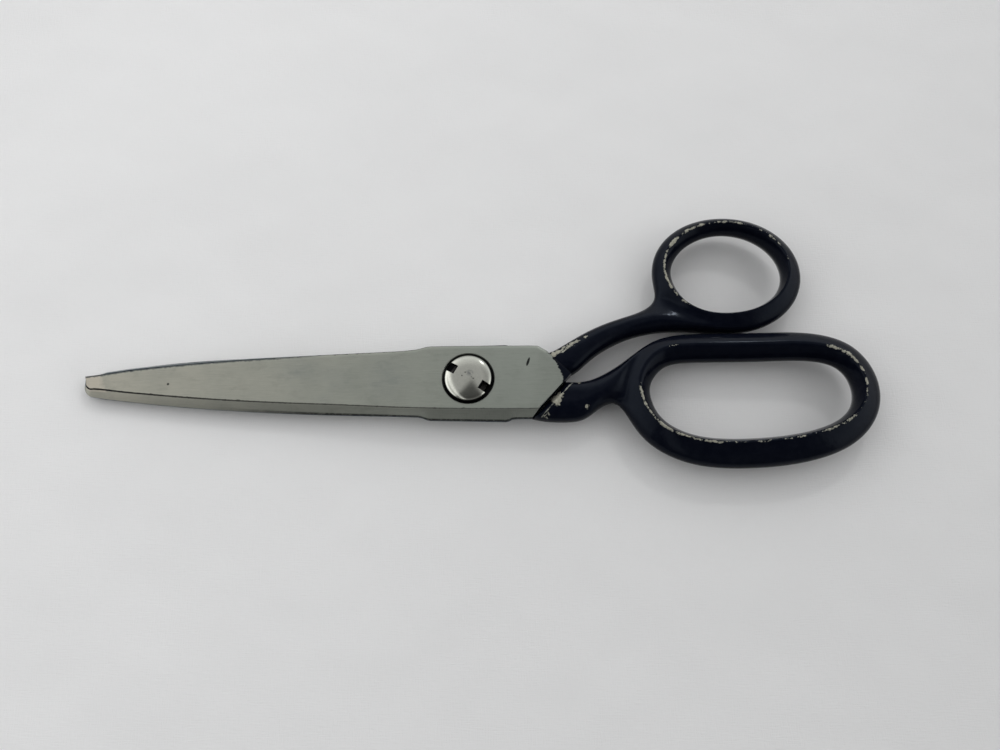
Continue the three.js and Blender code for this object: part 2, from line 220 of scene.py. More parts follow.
def bevel(obj, width, degrees):
    """Rounds the edges that are sharper than an angle in degrees."""
    angle = math.radians(degrees)
    return modify(obj, "BEVEL", width=width, segments=2, limit_method="ANGLE", angle_limit=angle)


def join_or_cut(obj, tool, operation):
    """Joins a tool to an object or cuts it out, and removes the tool."""
    modify(obj, "BOOLEAN", object=tool, operation=operation, solver="EXACT")
    bpy.data.objects.remove(tool)
    return obj


def turn_over(obj):
    """Turns an object half a turn about the pivot plane's X axis."""
    lift = Matrix.Translation((0, 0, PARTING))
    obj.data.transform(lift @ Matrix.Rotation(math.pi, 4, "X") @ lift.inverted())
    return obj


def round_body(name, profile, sides=96):
    """A turned body about the pivot, from (radius, height) pairs that start and end on the axis."""
    points = [(0, 0, profile[0][1]), (0, 0, profile[-1][1])]
    rings = profile[1:-1]
    for radius, height in rings:
        for side in range(sides):
            angle = side * math.tau / sides
            points.append((radius * math.cos(angle), radius * math.sin(angle), height))
    faces = []
    for side in range(sides):
        after = (side + 1) % sides
        faces.append((0, 2 + after, 2 + side))
        for ring in range(len(rings) - 1):
            low = 2 + ring * sides
            high = low + sides
            faces.append((low + side, low + after, high + after, high + side))
        top = 2 + (len(rings) - 1) * sides
        faces.append((1, top + side, top + after))
    return mesh_object(name, points, faces)


def rod(name, radius, low, high):
    return round_body(name, [(0, low), (radius, low), (radius, high), (0, high)])


def slab(name, corners, low, high):
    """A flat slab between two heights, from the corners of its outline taken anticlockwise."""
    count = len(corners)
    points = [(x, y, low) for x, y in corners] + [(x, y, high) for x, y in corners]
    faces = [tuple(reversed(range(count))), tuple(range(count, 2 * count))]
    for corner in range(count):
        after = (corner + 1) % count
        faces.append((corner, after, count + after, count + corner))
    return mesh_object(name, points, faces)


def face_out(obj):
    """Turns the faces of a closed mesh outwards."""
    shape = bmesh.new()
    shape.from_mesh(obj.data)
    bmesh.ops.recalc_face_normals(shape, faces=shape.faces)
    shape.to_mesh(obj.data)
    shape.free()
    return obj


def shade(obj, sharp_angle):
    """Smooth shading that keeps edges sharper than an angle in degrees."""
    obj.data.shade_smooth()
    obj.data.set_sharp_from_angle(angle=math.radians(sharp_angle))
    return obj


def put_attribute(obj, name, values):
    """Gives every vertex a value that a material can read by name."""
    layer = obj.data.attributes.new(name, "FLOAT", "POINT")
    layer.data.foreach_set("value", values)


# ---- Blade and pivot plate ----

HEEL_X = -10.5
SPINE_LAND = 0.7
BLADE_START = -94.6
BLADE_END = -13.6
PLATE_END = 13.4
TIP_ROWS = 9
TIP_CENTRE = Vector((-96.35, -0.75))
TIP_RADIUS = 3.2
PLATE_CORNER = Vector((16.3, -10.05))
PLATE_REACH = Vector((25.3, 0.0))
DIAGONAL = (PLATE_REACH - PLATE_CORNER).normalized()
OUTWARD = Vector((DIAGONAL.y, -DIAGONAL.x))

CUT_LINE = [
    (-99.5, 1.62), (-94, 2.3), (-88, 3.2), (-74, 4.6), (-60, 5.6), (-46, 6.3), (-33, 6.9),
    (-18, 7.5), (-14.4, 7.75), (-12.5, 8.15), (-10.6, 8.62), (-8, 8.75), (0, 8.8), (18, 8.8),
]
RIDGE_LINE = [
    (-95.5, -1.85), (-88, -2.8), (-74, -4.2), (-60, -5.3), (-46, -6.1), (-33, -6.7), (-18, -7.5),
    (-10, -7.8), (0, -8.0), (12, -8.1), (18, -8.15),
]
SPINE_LINE = [
    (-97.3, -3.8), (-88, -5.0), (-74, -6.5), (-60, -7.6), (-46, -8.4), (-33, -8.9), (-18, -9.3),
    (-12.9, -9.5), (-12.0, -9.65), (-10.2, -10.35), (-9.2, -10.42), (0, -10.6), (9.6, -10.8),
    (10.2, -10.72), (11.3, -10.12), (12.0, -10.05), (16.3, -10.05),
]

# How far the lower half's spine stands back from the line that the upper half's follows.
UPPER_TRIM = [(-100, 0.0), (25, 0.0)]
LOWER_TRIM = [
    (-100, 1.6), (-96, 1.3), (-90, 0.85), (-74, 0.65), (-46, 1.1), (-30, 0.85), (-15, 0.6), (25, 0.6),
]

# A row's places: five over the outer face from the cut edge to the ridge, one just past the ridge, the
# spine's two edges, and five back under the inner face. Marks sit on the edges that carry wear, dirt and
# painted shade.
ROW_PLACES = 13
MARKED_PLACES = {"ridge": (4,), "cut": (0,), "spine": (6, 7)}


def plate_top(x, sizes):
    """Height of the outer face, which thins from the heel to the tip."""
    share = min(max((HEEL_X - x) / (BLADE_LENGTH + HEEL_X), 0.0), 1.0)
    thick = sizes.plate_thickness / MM
    thin = sizes.tip_thickness / MM
    return thick + (thin - thick) * share


def plate_rows(sizes, trim):
    """Rows across the plate: cutting side, ridge, spine edge in plan, and the cutting bevel's run."""
    cut, ridge, spine_edge = smooth_line(CUT_LINE), smooth_line(RIDGE_LINE), smooth_line(SPINE_LINE)
    set_back = smooth_line(trim)

    def spine(x):
        return spine_edge(x) + set_back(x)

    scale = sizes.blade_length / MM / BLADE_LENGTH
    rows = []
    # The spine turns up round the tip, and the ridge follows inside it.
    for step in range(TIP_ROWS):
        share = step / TIP_ROWS
        angle = math.radians(172 + 81 * share)
        way = Vector((math.cos(angle), math.sin(angle)))
        x = -99.45 + share * 3.6
        lip = 0.45 + 1.75 * share
        low = TIP_CENTRE + way * TIP_RADIUS
        high = TIP_CENTRE + way * (TIP_RADIUS - lip)
        if step == 0:
            low.y, high.y = 1.2, 1.35
            high.x = low.x + 0.25
        low.y += set_back(x) * share
        rows.append(((x, cut(x)), tuple(high), tuple(low), 0.15 + 0.5 * share))
    x = BLADE_START
    while x < BLADE_END:
        rows.append(((x, cut(x)), (x - 0.2, ridge(x)), (x - 0.2, spine(x)), 1.0))
        x += 3.0
    # Rows lie closer where the spine steps out at the plate's two corners.
    x = BLADE_END
    while x < PLATE_END:
        bevel = 1.0 if x < -12 else 0.5
        rows.append(((x, cut(x)), (x, ridge(x)), (x, spine(x)), bevel))
        x += 0.8 if x < -8.5 or 8.5 < x < 12.5 else 2.2
    rows.append(((16.3, 8.8), (14.2, ridge(14.2)), (13.9, spine(13.9)), 0.4))
    rows.append(((17.8, 8.72), (15.4, ridge(15.4)), (14.9, spine(14.9)), 0.3))
    return [[(px * scale, py) for px, py in row[:3]] + [row[3]] for row in rows]


def plate_body(name, sizes, trim):
    """Blade and pivot plate of either half, with its cutting edge on +Y and its outer face up."""
    points, faces = [], []

    def add_row(cut, ridge, spine, bevel, middle=None):
        middle = middle or ((cut[0] + ridge[0]) / 2, (cut[1] + ridge[1]) / 2)
        across = Vector((ridge[0] - cut[0], ridge[1] - cut[1])).normalized()
        near_cut = (cut[0] + across.x * 0.9, cut[1] + across.y * 0.9)
        near_ridge = (ridge[0] - across.x * 0.5, ridge[1] - across.y * 0.5)
        top = [cut, near_cut, middle, near_ridge, ridge]
        for x, y in top:
            points.append((x, y, plate_top(x, sizes)))
        fall = Vector((spine[0] - ridge[0], spine[1] - ridge[1]))
        share = min(0.35 / max(fall.length, 0.01), 0.9)
        low = HALF_GAP + SPINE_LAND
        height = plate_top(ridge[0], sizes)
        past = (ridge[0] + fall.x * share, ridge[1] + fall.y * share, height + (low - height) * share)
        points.extend([past, (*spine, low), (*spine, HALF_GAP)])
        for x, y in reversed(top):
            points.append((x, y + (bevel if (x, y) == cut else 0.0), HALF_GAP))

    rows = plate_rows(sizes, trim)
    for row in rows:
        add_row(*row)
    ridge_end = PLATE_CORNER + DIAGONAL * 2.75
    inside = PLATE_CORNER + DIAGONAL * ((PLATE_REACH - PLATE_CORNER).length + 1.7)
    corner = (PLATE_CORNER.x, PLATE_CORNER.y + trim[-1][1])
    add_row((20.3, 7.3), tuple(ridge_end), corner, 0.1, tuple(inside))
    for row in range(len(rows)):
        base = row * ROW_PLACES
        beyond = base + ROW_PLACES
        for place in range(ROW_PLACES):
            after = (place + 1) % ROW_PLACES
            faces.append((base + place, base + after, beyond + after, beyond + place))
    faces.append(tuple(reversed(range(ROW_PLACES))))
    # The end wall: the diagonal with the facet's end, then the part hidden in the shank.
    last = len(rows) * ROW_PLACES
    faces.append(tuple(last + place for place in range(2, 11)))
    faces.append(tuple(last + place for place in (0, 1, 2, 10, 11, 12)))
    obj = face_out(mesh_object(name, points, faces))
    for mark, places in MARKED_PLACES.items():
        values = [float(place in places) for place in range(ROW_PLACES)]
        put_attribute(obj, mark, values * (len(rows) + 1))
    return bevel(obj, sizes.edge_round, 22)


# ---- Shanks and bows ----

# A handle's rows have eight places. The shank opens into the ring over the bow's first four rows.
ROW = 8
JUNCTION = 3
ROOT = PLATE_THICKNESS - HALF_GAP

# Share of its half height that a bow keeps at its outer edge: by the shank, then all the way round.
THUMB_SHOULDERS = (0.5, 0.8, 0.85, 0.6)
FINGER_SHOULDERS = (0.45, 0.6, 0.6, 0.4)
SHOULDER = 0.30


def mirrored(top):
    """A row's upper places in order, then the same places below the parting plane."""
    return top + [(x, y, -z) for x, y, z in reversed(top)]


def shank_row(upper, lower, half, edge):
    """A row across a shank, from its upper to its lower side, with thinner edges."""
    shares = (0.0, 0.3, 0.7, 1.0)
    heights = (edge, 1.0, 1.0, edge)
    return mirrored([
        (upper[0] + (lower[0] - upper[0]) * s, upper[1] + (lower[1] - upper[1]) * s, half * h)
        for s, h in zip(shares, heights)
    ])


def bow_row(centre, outward, band, half, shoulder):
    """A row across a bow: a long outer slope up to a crest that leans to the pivot's side."""
    crest = -0.18 - 0.12 * outward.x + 0.12 * outward.y
    offsets = (0.5, 0.5 + 0.42 * (crest - 0.5), crest, -0.5)
    heights = (shoulder, max(0.72, shoulder), 1.06, 0.34)
    return mirrored([
        (centre.x + outward.x * o * band, centre.y + outward.y * o * band, half * h)
        for o, h in zip(offsets, heights)
    ])


def handle_body(name, shank, bow, sizes, cutters):
    """A smooth shank and closed bow from rows of eight points, cut where the other half turns."""
    points = [p for row in shank + bow for p in row]
    faces = []

    def numbers(row):
        return [row * ROW + place for place in range(ROW)]

    def tube(start, end):
        for place in range(ROW):
            after = (place + 1) % ROW
            faces.append((start[place], start[after], end[after], end[place]))

    for row in range(len(shank) - 1):
        tube(numbers(row), numbers(row + 1))
    first = numbers(0)
    for place in range(3):
        faces.append((first[7 - place], first[6 - place], first[place + 1], first[place]))
    bow_start = len(shank)
    tops = [numbers(bow_start + row)[0] for row in range(JUNCTION + 1)]
    bottoms = [numbers(bow_start + row)[ROW - 1] for row in range(JUNCTION + 1)]
    tube(numbers(bow_start - 1), tops + bottoms[::-1])
    for row in range(len(bow)):
        start = numbers(bow_start + row)
        end = numbers(bow_start + (row + 1) % len(bow))
        for place in range(ROW):
            if place == ROW - 1 and row < JUNCTION:
                continue
            after = (place + 1) % ROW
            faces.append((end[place], end[after], start[after], start[place]))
    obj = mesh_object(name, points, faces)
    # The crest stays crisp all round the bow, and more so on its lower side.
    creases = {}
    for row in range(len(bow)):
        here = numbers(bow_start + row)
        there = numbers(bow_start + (row + 1) % len(bow))
        across = (Vector(bow[row][0]) - Vector(bow[row][3])).normalized()
        for place in (2, 5):
            creases[frozenset((here[place], there[place]))] = 0.55 - 0.3 * across.y
    layer = obj.data.attributes.new("crease_edge", "FLOAT", "EDGE")
    for edge in obj.data.edges:
        layer.data[edge.index].value = creases.get(frozenset(edge.vertices), 0.0)
    modify(obj, "SUBSURF", levels=4, render_levels=4)
    for cutter in cutters:
        join_or_cut(obj, cutter, "DIFFERENCE")
    modify(obj, "REMESH", mode="VOXEL", voxel_size=sizes.enamel_round, use_smooth_shade=True)
    modify(obj, "SMOOTH", factor=0.5, iterations=5)
    return obj


def wear_marks(vertices, rubs):
    """How far inside a worn patch of the crest each vertex lies, and negative outside them all."""
    reach = 2.0
    steepness = 3.5
    outside = -4.0
    places = [(v.co.x / MM, v.co.y / MM, abs(v.co.z - PARTING) / MM) for v in vertices]
    marks = [outside] * len(places)
    for x, y, run, width in rubs:
        near = []
        crest = 0.0
        for number, (px, py, pz) in enumerate(places):
            away = math.hypot(px - x, py - y)
            if away < run * 1.6 + reach:
                near.append((number, away / run, pz))
                if away < reach:
                    crest = max(crest, pz)
        for number, along, pz in near:
            mark = width * (1.0 - along * along) - (crest - pz) * steepness
            marks[number] = max(marks[number], mark)
    return marks


def clearance(name):
    """What the other half's plate turns in: all that lies on the pivot's side of its diagonal."""
    wall = PLATE_CORNER + OUTWARD * SHANK_GAP
    low, high = -HALF_GAP, 12.0
    corners = [
        wall - DIAGONAL * FAR,
        wall + DIAGONAL * FAR,
        wall + DIAGONAL * FAR - OUTWARD * FAR,
        wall - DIAGONAL * FAR - OUTWARD * FAR,
    ]
    return slab(name, [tuple(c) for c in corners], low, high)


def shoulder_chamfer():
    """A wedge that takes the top edge off the raised shank where it faces the diagonal."""
    start, run, inset = 1.6, 1.7, 0.5
    wall = PLATE_CORNER + OUTWARD * SHANK_GAP
    near, past = wall - OUTWARD * inset, wall + OUTWARD * run
    low = start - inset * (PLATE_THICKNESS - start) / run
    high = PLATE_THICKNESS + 4
    corners = ((near, low), (past, PLATE_THICKNESS + 0.05), (past, high), (near, high))
    points = []
    for end in (-FAR, FAR):
        shift = DIAGONAL * end
        for place, height in corners:
            points.append((place.x + shift.x, place.y + shift.y, height))
    faces = [(3, 2, 1, 0), (4, 5, 6, 7), (0, 1, 5, 4), (1, 2, 6, 5), (2, 3, 7, 6), (3, 0, 4, 7)]
    return face_out(mesh_object("shoulder_chamfer", points, faces))


# Rubbed stretches of the crests: a place in plan, a run along the crest and a half width across it.
THUMB_RUBS = [
    (55.2, 38.3, 3.0, 1.0), (59.5, 42.0, 3.5, 0.6), (63.5, 43.3, 4.0, 0.55), (68.5, 43.9, 4.5, 0.5),
    (73.5, 43.2, 3.0, 0.35), (53.0, 34.5, 3.5, 0.7), (52.3, 31.0, 4.0, 0.8), (53.0, 26.5, 4.0, 0.7),
    (54.5, 23.0, 3.0, 0.5), (56.3, 20.7, 3.0, 0.6), (79.5, 40.8, 3.0, 0.45), (82.3, 38.2, 2.6, 0.45),
    (85.3, 33.3, 1.0, 0.45), (85.5, 28.5, 0.8, 0.35),
]
FINGER_RUBS = [
    (46.5, -5.0, 3.0, 0.3), (47.8, -9.0, 4.5, 0.65), (50.5, -12.5, 4.5, 0.85), (54.5, -14.8, 5.0, 0.7),
    (60.0, -16.4, 6.0, 0.4), (70.0, -17.2, 9.0, 0.22), (82.0, -16.9, 8.0, 0.22), (92.0, -14.5, 5.0, 0.55),
    (96.0, -12.0, 4.0, 0.6), (99.5, -7.0, 3.0, 0.4), (101.0, -1.5, 4.0, 0.6), (100.0, 3.5, 4.0, 0.5),
    (97.0, 7.0, 3.5, 0.9), (93.5, 9.2, 3.0, 0.6), (52.5, 9.0, 1.6, 0.4),
]


def thumb_handle(sizes):
    """Shank and thumb ring of the upper half."""
    half = sizes.thumb_height / MM / 2
    ring_length, ring_width, band = 40.2, 33.8, 5.3
    centre = Vector((69.1, 30.0))
    spread = 1.02
    long_radius = (ring_length - band) / 2 * spread
    short_radius = (ring_width - band) / 2 * spread
    steps = 16
    bow = []
    for step in range(steps):
        angle = math.radians(202.5) + step * math.tau / steps
        along, across = math.cos(angle), math.sin(angle)
        place = centre + Vector((long_radius * along, short_radius * across))
        outward = Vector((along / long_radius, across / short_radius)).normalized()
        width = 5.0 - 0.5 * outward.y + 0.3 * abs(outward.x)
        width += 1.6 * max(-outward.x, 0.0) * max(outward.y, 0.0)
        shoulder = THUMB_SHOULDERS[step] if step <= JUNCTION else SHOULDER
        # The ring is thinner where the shank runs into it.
        if step in (1, 2):
            width -= 0.7
            place += outward * 0.35
        bow.append(bow_row(place, outward, width, half, shoulder))
    shank = [
        shank_row((17.7, 7.0), (18.6, 0.5), ROOT - 0.25, 0.9),
        shank_row((21.3, 7.6), (24.8, 0.6), ROOT - 0.1, 0.8),
        shank_row((25.1, 10.1), (28.6, 2.5), ROOT + 0.2, 0.65),
        shank_row((30.1, 13.2), (32.2, 6.4), ROOT + 0.5, 0.5),
        shank_row((35.8, 15.9), (38.2, 10.2), ROOT + 0.6, 0.5),
        shank_row((42.0, 17.9), (44.8, 12.8), half - 0.4, 0.45),
        shank_row((46.7, 19.7), (55.1, 14.2), half - 0.2, 0.45),
    ]
    return handle_body("thumb_handle", shank, bow, sizes, [turn_over(clearance("thumb_clearance"))])


# The finger bow's middle line, anticlockwise from the shank, in shares of its half length and half width.
FINGER_OUTLINE = [
    (-0.80, 0.91), (-0.955, 0.61), (-1.035, 0.25), (-1.015, -0.17),
    (-0.895, -0.68), (-0.54, -1.045), (-0.05, -1.06), (0.39, -0.97),
    (0.79, -0.71), (1.01, -0.20), (1.015, 0.38), (0.85, 0.88),
    (0.51, 1.02), (0.14, 0.99), (-0.24, 0.98), (-0.57, 0.98),
]


def finger_handle(sizes):
    """Shank and finger bow of the lower half."""
    half = sizes.finger_height / MM / 2
    bow_length, bow_width, band = 65.3, 35.2, 7.1
    centre = Vector((73.15, -4.7))
    half_length, half_width = (bow_length - band) / 2, (bow_width - band) / 2
    places = [centre + Vector((u * half_length, v * half_width)) for u, v in FINGER_OUTLINE]
    bow = []
    for step, place in enumerate(places):
        run = (places[(step + 1) % len(places)] - places[step - 1]).normalized()
        outward = Vector((run.y, -run.x))
        shoulder = FINGER_SHOULDERS[step] if step <= JUNCTION else SHOULDER
        width = band + 0.8 * max(outward.y, 0.0) + 0.6 * max(-outward.y, 0.0)
        width -= 0.35 * max(outward.x, 0.0)
        place -= outward * 0.15 * abs(outward.y)
        bow.append(bow_row(place, outward, width, half, shoulder))
    shank = [
        shank_row((17.7, 0.4), (12.4, -8.8), ROOT - 0.25, 0.9),
        shank_row((22.3, 0.0), (18.5, -10.9), ROOT - 0.1, 0.8),
        shank_row((26.8, -0.3), (24.5, -11.1), ROOT, 0.7),
        shank_row((31.1, 0.0), (29.8, -10.8), ROOT + 0.2, 0.6),
        shank_row((35.3, 1.9), (33.3, -7.4), ROOT + 0.5, 0.5),
        shank_row((40.2, 5.0), (37.4, -5.2), half - 0.5, 0.45),
    ]
    return handle_body(
        "finger_handle", shank, bow, sizes, [clearance("finger_clearance"), shoulder_chamfer()]
    )


# ---- Shader maths ----

class Signal:
    """A value that changes over a surface. Expressions on signals add Math nodes."""

    def __init__(self, tree, socket):
        self.tree = tree
        self.socket = socket

    def math(self, operation, *others, clamp=False):
        node = self.tree.nodes.new("ShaderNodeMath")
        node.operation = operation
        node.use_clamp = clamp
        for slot, value in enumerate((self, *others)):
            feed(self.tree, node.inputs[slot], value)
        return Signal(self.tree, node.outputs[0])

    def __add__(self, other):
        return self.math("ADD", other)

    def __sub__(self, other):
        return self.math("SUBTRACT", other)

    def __rsub__(self, other):
        return (self * -1.0) + other

    def __mul__(self, other):
        return self.math("MULTIPLY", other)

    def __truediv__(self, other):
        return self.math("DIVIDE", other)

    def __neg__(self):
        return self * -1.0

    def __abs__(self):
        return self.math("ABSOLUTE")

    __radd__ = __add__
    __rmul__ = __mul__

    def most(self, other):
        return self.math("MAXIMUM", other)

    def clamped(self):
        return self.math("MULTIPLY", 1.0, clamp=True)

    def above(self, edge, soft):
        """0 below an edge and 1 above it, with a soft change between."""
        return ((self - edge) / soft + 0.5).clamped()

    def below(self, edge, soft):
        """1 below an edge and 0 above it, with a soft change between."""
        return 1.0 - self.above(edge, soft)


def feed(tree, socket, value):
    """Links a signal to a socket, or sets a constant on it."""
    if isinstance(value, Signal):
        tree.links.new(value.socket, socket)
    else:
        socket.default_value = value


def opaque(value):
    """A colour with its alpha. A signal stays as it is."""
    return value if isinstance(value, Signal) else (*value, 1.0)


def darker(rgb, share):
    return [part * share for part in rgb]


class Nodes:
    """Adds nodes to one shader tree."""

    def __init__(self, tree):
        self.tree = tree

    def node(self, kind, settings=None, inputs=None):
        node = self.tree.nodes.new(kind)
        for key, value in (settings or {}).items():
            setattr(node, key, value)
        for key, value in (inputs or {}).items():
            feed(self.tree, node.inputs[key], value)
        return node

    def add(self, kind, settings=None, inputs=None, output=0):
        """Adds a node and gives one of its outputs as a signal."""
        return Signal(self.tree, self.node(kind, settings, inputs).outputs[output])

    def axes(self, vector):
        split = self.node("ShaderNodeSeparateXYZ", {}, {0: vector})
        return [Signal(self.tree, output) for output in split.outputs]


class Maker(Nodes):
    """One material that works in millimetres and ends in a single surface shader."""

    def __init__(self, name):
        self.material = bpy.data.materials.new(name)
        self.material.use_nodes = True
        super().__init__(self.material.node_tree)
        self.tree.nodes.clear()
        place = self.add("ShaderNodeTexCoord", output="Object")
        self.place = self.add(
            "ShaderNodeVectorMath", {"operation": "SCALE"}, {0: place, "Scale": 1 / MM}
        )
        self.x, self.y, self.z = self.axes(self.place)

    def mark(self, name):
        return self.add("ShaderNodeAttribute", {"attribute_name": name}, output="Fac")

    def noise(self, scale, detail=3.0, rough=0.55, stretch=None):
        """Grain of about 1 / scale millimetres, near 0.5 on average. A stretch squeezes each axis."""
        place = self.place
        if stretch:
            place = self.add(
                "ShaderNodeVectorMath", {"operation": "MULTIPLY"}, {0: place, 1: stretch}
            )
        inputs = {"Vector": place, "Scale": scale, "Detail": detail, "Roughness": rough}
        return self.add("ShaderNodeTexNoise", {}, inputs)

    def mix(self, share, first, second):
        """A colour between two colours."""
        inputs = {0: share, 6: opaque(first), 7: opaque(second)}
        return self.add("ShaderNodeMix", {"data_type": "RGBA"}, inputs, 2)

    def away(self, x=0.0, y=0.0):
        """Distance in plan from a place, or from the pivot's axis."""
        dx, dy = self.x - x, self.y - y
        return (dx * dx + dy * dy).math("SQRT")

    def spot(self, x, y, radius, soft):
        """1 inside a round patch seen in plan, 0 outside."""
        return self.away(x, y).below(radius, soft)

    def finish(self, colour, roughness, metallic, height, specular=0.5, tint=(1.0, 1.0, 1.0)):
        inputs = {"Height": height, "Strength": 1.0, "Distance": MM}
        bump = self.add("ShaderNodeBump", {}, inputs, "Normal")
        shader = self.node("ShaderNodeBsdfPrincipled", {}, {
            "Base Color": colour,
            "Roughness": roughness,
            "Metallic": metallic,
            "Specular IOR Level": specular,
            "Specular Tint": opaque(tint),
            "Normal": bump,
        })
        output = self.node("ShaderNodeOutputMaterial")
        self.tree.links.new(shader.outputs[0], output.inputs[0])
        return self.material


# ---- Finishes ----

# Colours of dirt, wear, painted shade and plain metal that the finish's own colours don't cover.
HAZE = (0.17, 0.19, 0.2)
WORN_WARM = (0.50, 0.45, 0.375)
DARK_BLUE_GREY = (0.028, 0.038, 0.046)
SPINE_EDGE_SHADE = (0.045, 0.055, 0.062)
FACET_SHADE = (0.17, 0.165, 0.145)
GROUND_LINES = (0.09, 0.09, 0.085)
SCUFFED_ENAMEL = (0.006, 0.007, 0.012)
DUST = (0.3, 0.3, 0.28)
NUT_LIGHT = (0.56, 0.56, 0.50)
NUT_DULL = (0.45, 0.455, 0.41)
NUT_SHADE = (0.15, 0.155, 0.14)
NUT_SMEAR = (0.14, 0.15, 0.16)
NUT_PIT = (0.05, 0.05, 0.05)
SPRING_LIGHT = (0.09, 0.085, 0.08)
SPRING_DARK = (0.03, 0.03, 0.03)

# Hazy patches on the plate: a place in plan and a radius.
HAZE_PATCHES = ((-20, 0.0, 5.0), (-44, 3.2, 4.0), (-35, -0.5, 3.0), (-37.5, -5.2, 1.2))

# Chips off the shanks: a place in plan and a radius.
THUMB_CHIPS = (
    (22.0, 6.7, 0.8), (23.2, 7.3, 0.8), (24.4, 8.0, 0.75), (25.6, 8.8, 0.7), (26.8, 9.5, 0.6),
    (28.2, 10.2, 0.5), (30.2, 11.2, 0.5),
)
FINGER_CHIPS = (
    (22.6, -5.6, 1.5), (23.4, -4.6, 1.0), (20.0, -9.5, 0.6), (28.5, -0.7, 0.6), (30.2, -7.4, 0.5),
)


def nickel_finish(m, finish):
    """Colour, roughness and height of the worn plate, brushed along the blade."""
    brushed = m.noise(1.0, 4.0, 0.6, stretch=(0.22, 7.0, 7.0))
    cloud = m.noise(0.09, 4.0, 0.6)
    smear = m.noise(0.35, 5.0, 0.65, stretch=(0.5, 1.0, 1.0))
    grain = m.noise(6.0, 3.0, 0.6)
    # Painted darker reflection towards the pivot, along with the greenish tarnish.
    toward_pivot = (m.x / 110.0 + 0.92).clamped()
    tone = m.mix(toward_pivot, finish.nickel, finish.tarnish_and_shade)
    tone = m.mix(cloud.above(0.55, 0.3) * 0.35, tone, darker(finish.tarnish_and_shade, 0.78))
    tone = m.mix(smear.above(0.62, 0.16) * 0.22, tone, darker(finish.tarnish_and_shade, 0.55))
    for x, y, size in HAZE_PATCHES:
        tone = m.mix(m.spot(x, y, size, 5.0) * smear.above(0.5, 0.3) * 0.22, tone, HAZE)
    tone = m.mix(brushed.above(0.62, 0.12) * 0.14, tone, darker(finish.tarnish_and_shade, 0.5))
    tone = m.mix(brushed.below(0.36, 0.12) * 0.10, tone, finish.bright)
    rough = 0.36 + brushed * 0.16 + cloud * 0.1
    return tone, rough, brushed * 0.010 * finish.scratching + grain * 0.002


